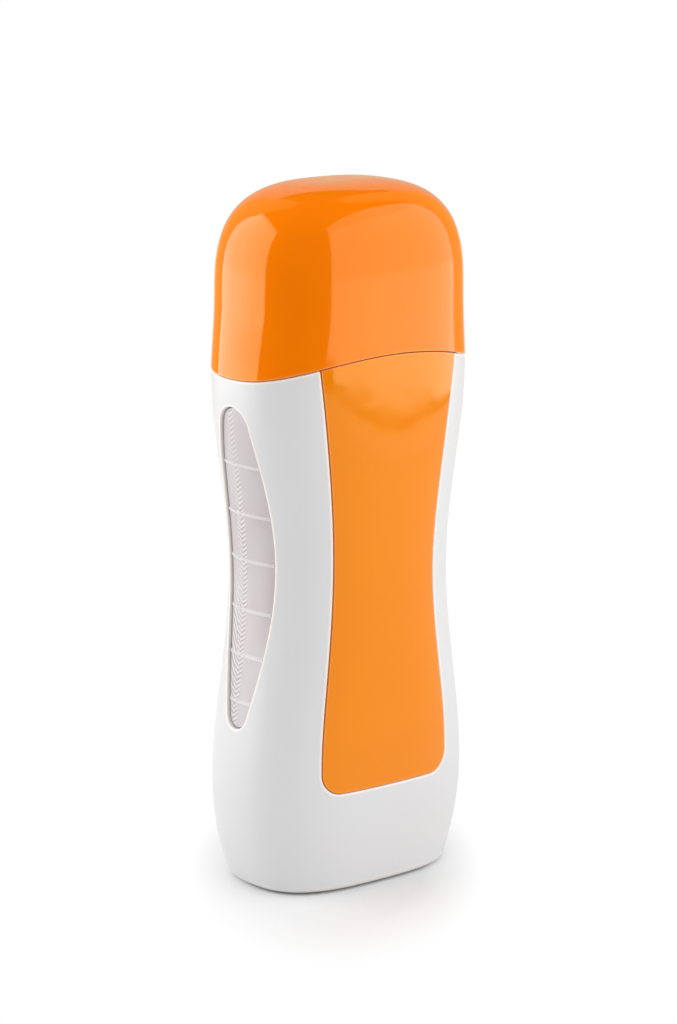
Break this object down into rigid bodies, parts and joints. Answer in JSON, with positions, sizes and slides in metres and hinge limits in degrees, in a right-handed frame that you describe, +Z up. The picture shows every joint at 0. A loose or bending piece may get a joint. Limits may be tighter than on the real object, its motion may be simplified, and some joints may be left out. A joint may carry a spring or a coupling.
{
  "type": "roll-on wax heater",
  "caption": "Upright hourglass wax cartridge warmer with a pull-off domed cap, inlaid panels, eye-shaped level windows and a rear power button.",
  "frame": {"origin": "on the standing surface, under the middle of the base", "axes": "+Z up along the body, front panel towards -Y, level windows at -X and +X, inlet and button at +Y"},
  "size_m": [0.0768, 0.0526, 0.2],
  "materials": {
    "orange_abs": "high gloss moulded",
    "white_abs": "satin moulded",
    "white_button_abs": "satin moulded",
    "clear_polycarbonate": "clear moulded with fine ridges",
    "foot_rubber": "matte",
    "zinc_steel": "zinc plated",
    "natural_nylon": "matte moulded",
    "aluminium_sheet": "rolled",
    "ptc_ceramic": "sintered",
    "spring_steel": "rolled",
    "aluminium_rivet": "plain",
    "thermostat_case": "tinned",
    "fuse_case": "plain",
    "black_nylon": "matte moulded",
    "nickel_plated_brass": "nickel plated",
    "board_laminate": "phenolic laminate",
    "resistor_epoxy": "dipped",
    "lamp_epoxy": "cast",
    "lens_acrylic": "clear moulded",
    "plunger_acetal": "moulded",
    "brown_insulation": "extruded",
    "blue_insulation": "extruded",
    "glass_sleeve": "braided glass sleeve"
  },
  "bodies": {
    "heater": {"body_shell": "white_abs", "front_panel": "orange_abs", "rear_panel": "orange_abs", "left_window": "clear_polycarbonate", "right_window": "clear_polycarbonate", "base_cover": "white_abs", "rubber_feet": "foot_rubber", "base_screws": "zinc_steel", "cartridge_well": "natural_nylon", "well_screws": "zinc_steel", "rear_heater_plate": "aluminium_sheet", "front_heater_plate": "aluminium_sheet", "rear_ptc_heater": "ptc_ceramic", "front_ptc_heater": "ptc_ceramic", "rear_ptc_clamp": "spring_steel", "front_ptc_clamp": "spring_steel", "clamp_rivets": "aluminium_rivet", "thermostat": "thermostat_case", "thermal_fuse": "fuse_case", "inlet_socket": "black_nylon", "inlet_pins": "nickel_plated_brass", "circuit_board": "board_laminate", "dropper_resistor": "resistor_epoxy", "indicator_lamp": "lamp_epoxy", "indicator_lens": "lens_acrylic", "power_switch": "black_nylon", "live_lead": "brown_insulation", "neutral_lead": "blue_insulation", "rear_heater_lead": "glass_sleeve", "front_heater_lead": "glass_sleeve", "thermostat_leads": "glass_sleeve", "fuse_leads": "glass_sleeve"},
    "cap": {"cap": "orange_abs"},
    "button": {"power_button": "white_button_abs", "switch_plunger": "plunger_acetal"}
  },
  "joints": [
    {"name": "cap_lift", "type": "slide", "parent": "heater", "child": "cap", "axis": [0, 0, 1], "range_m": [0, 0.09]},
    {"name": "power_button_press", "type": "slide", "parent": "heater", "child": "button", "axis": [0, -1, 0], "range_m": [0, 0.0012], "stiffness_N_per_m": 900, "springref_m": -0.001}
  ]
}
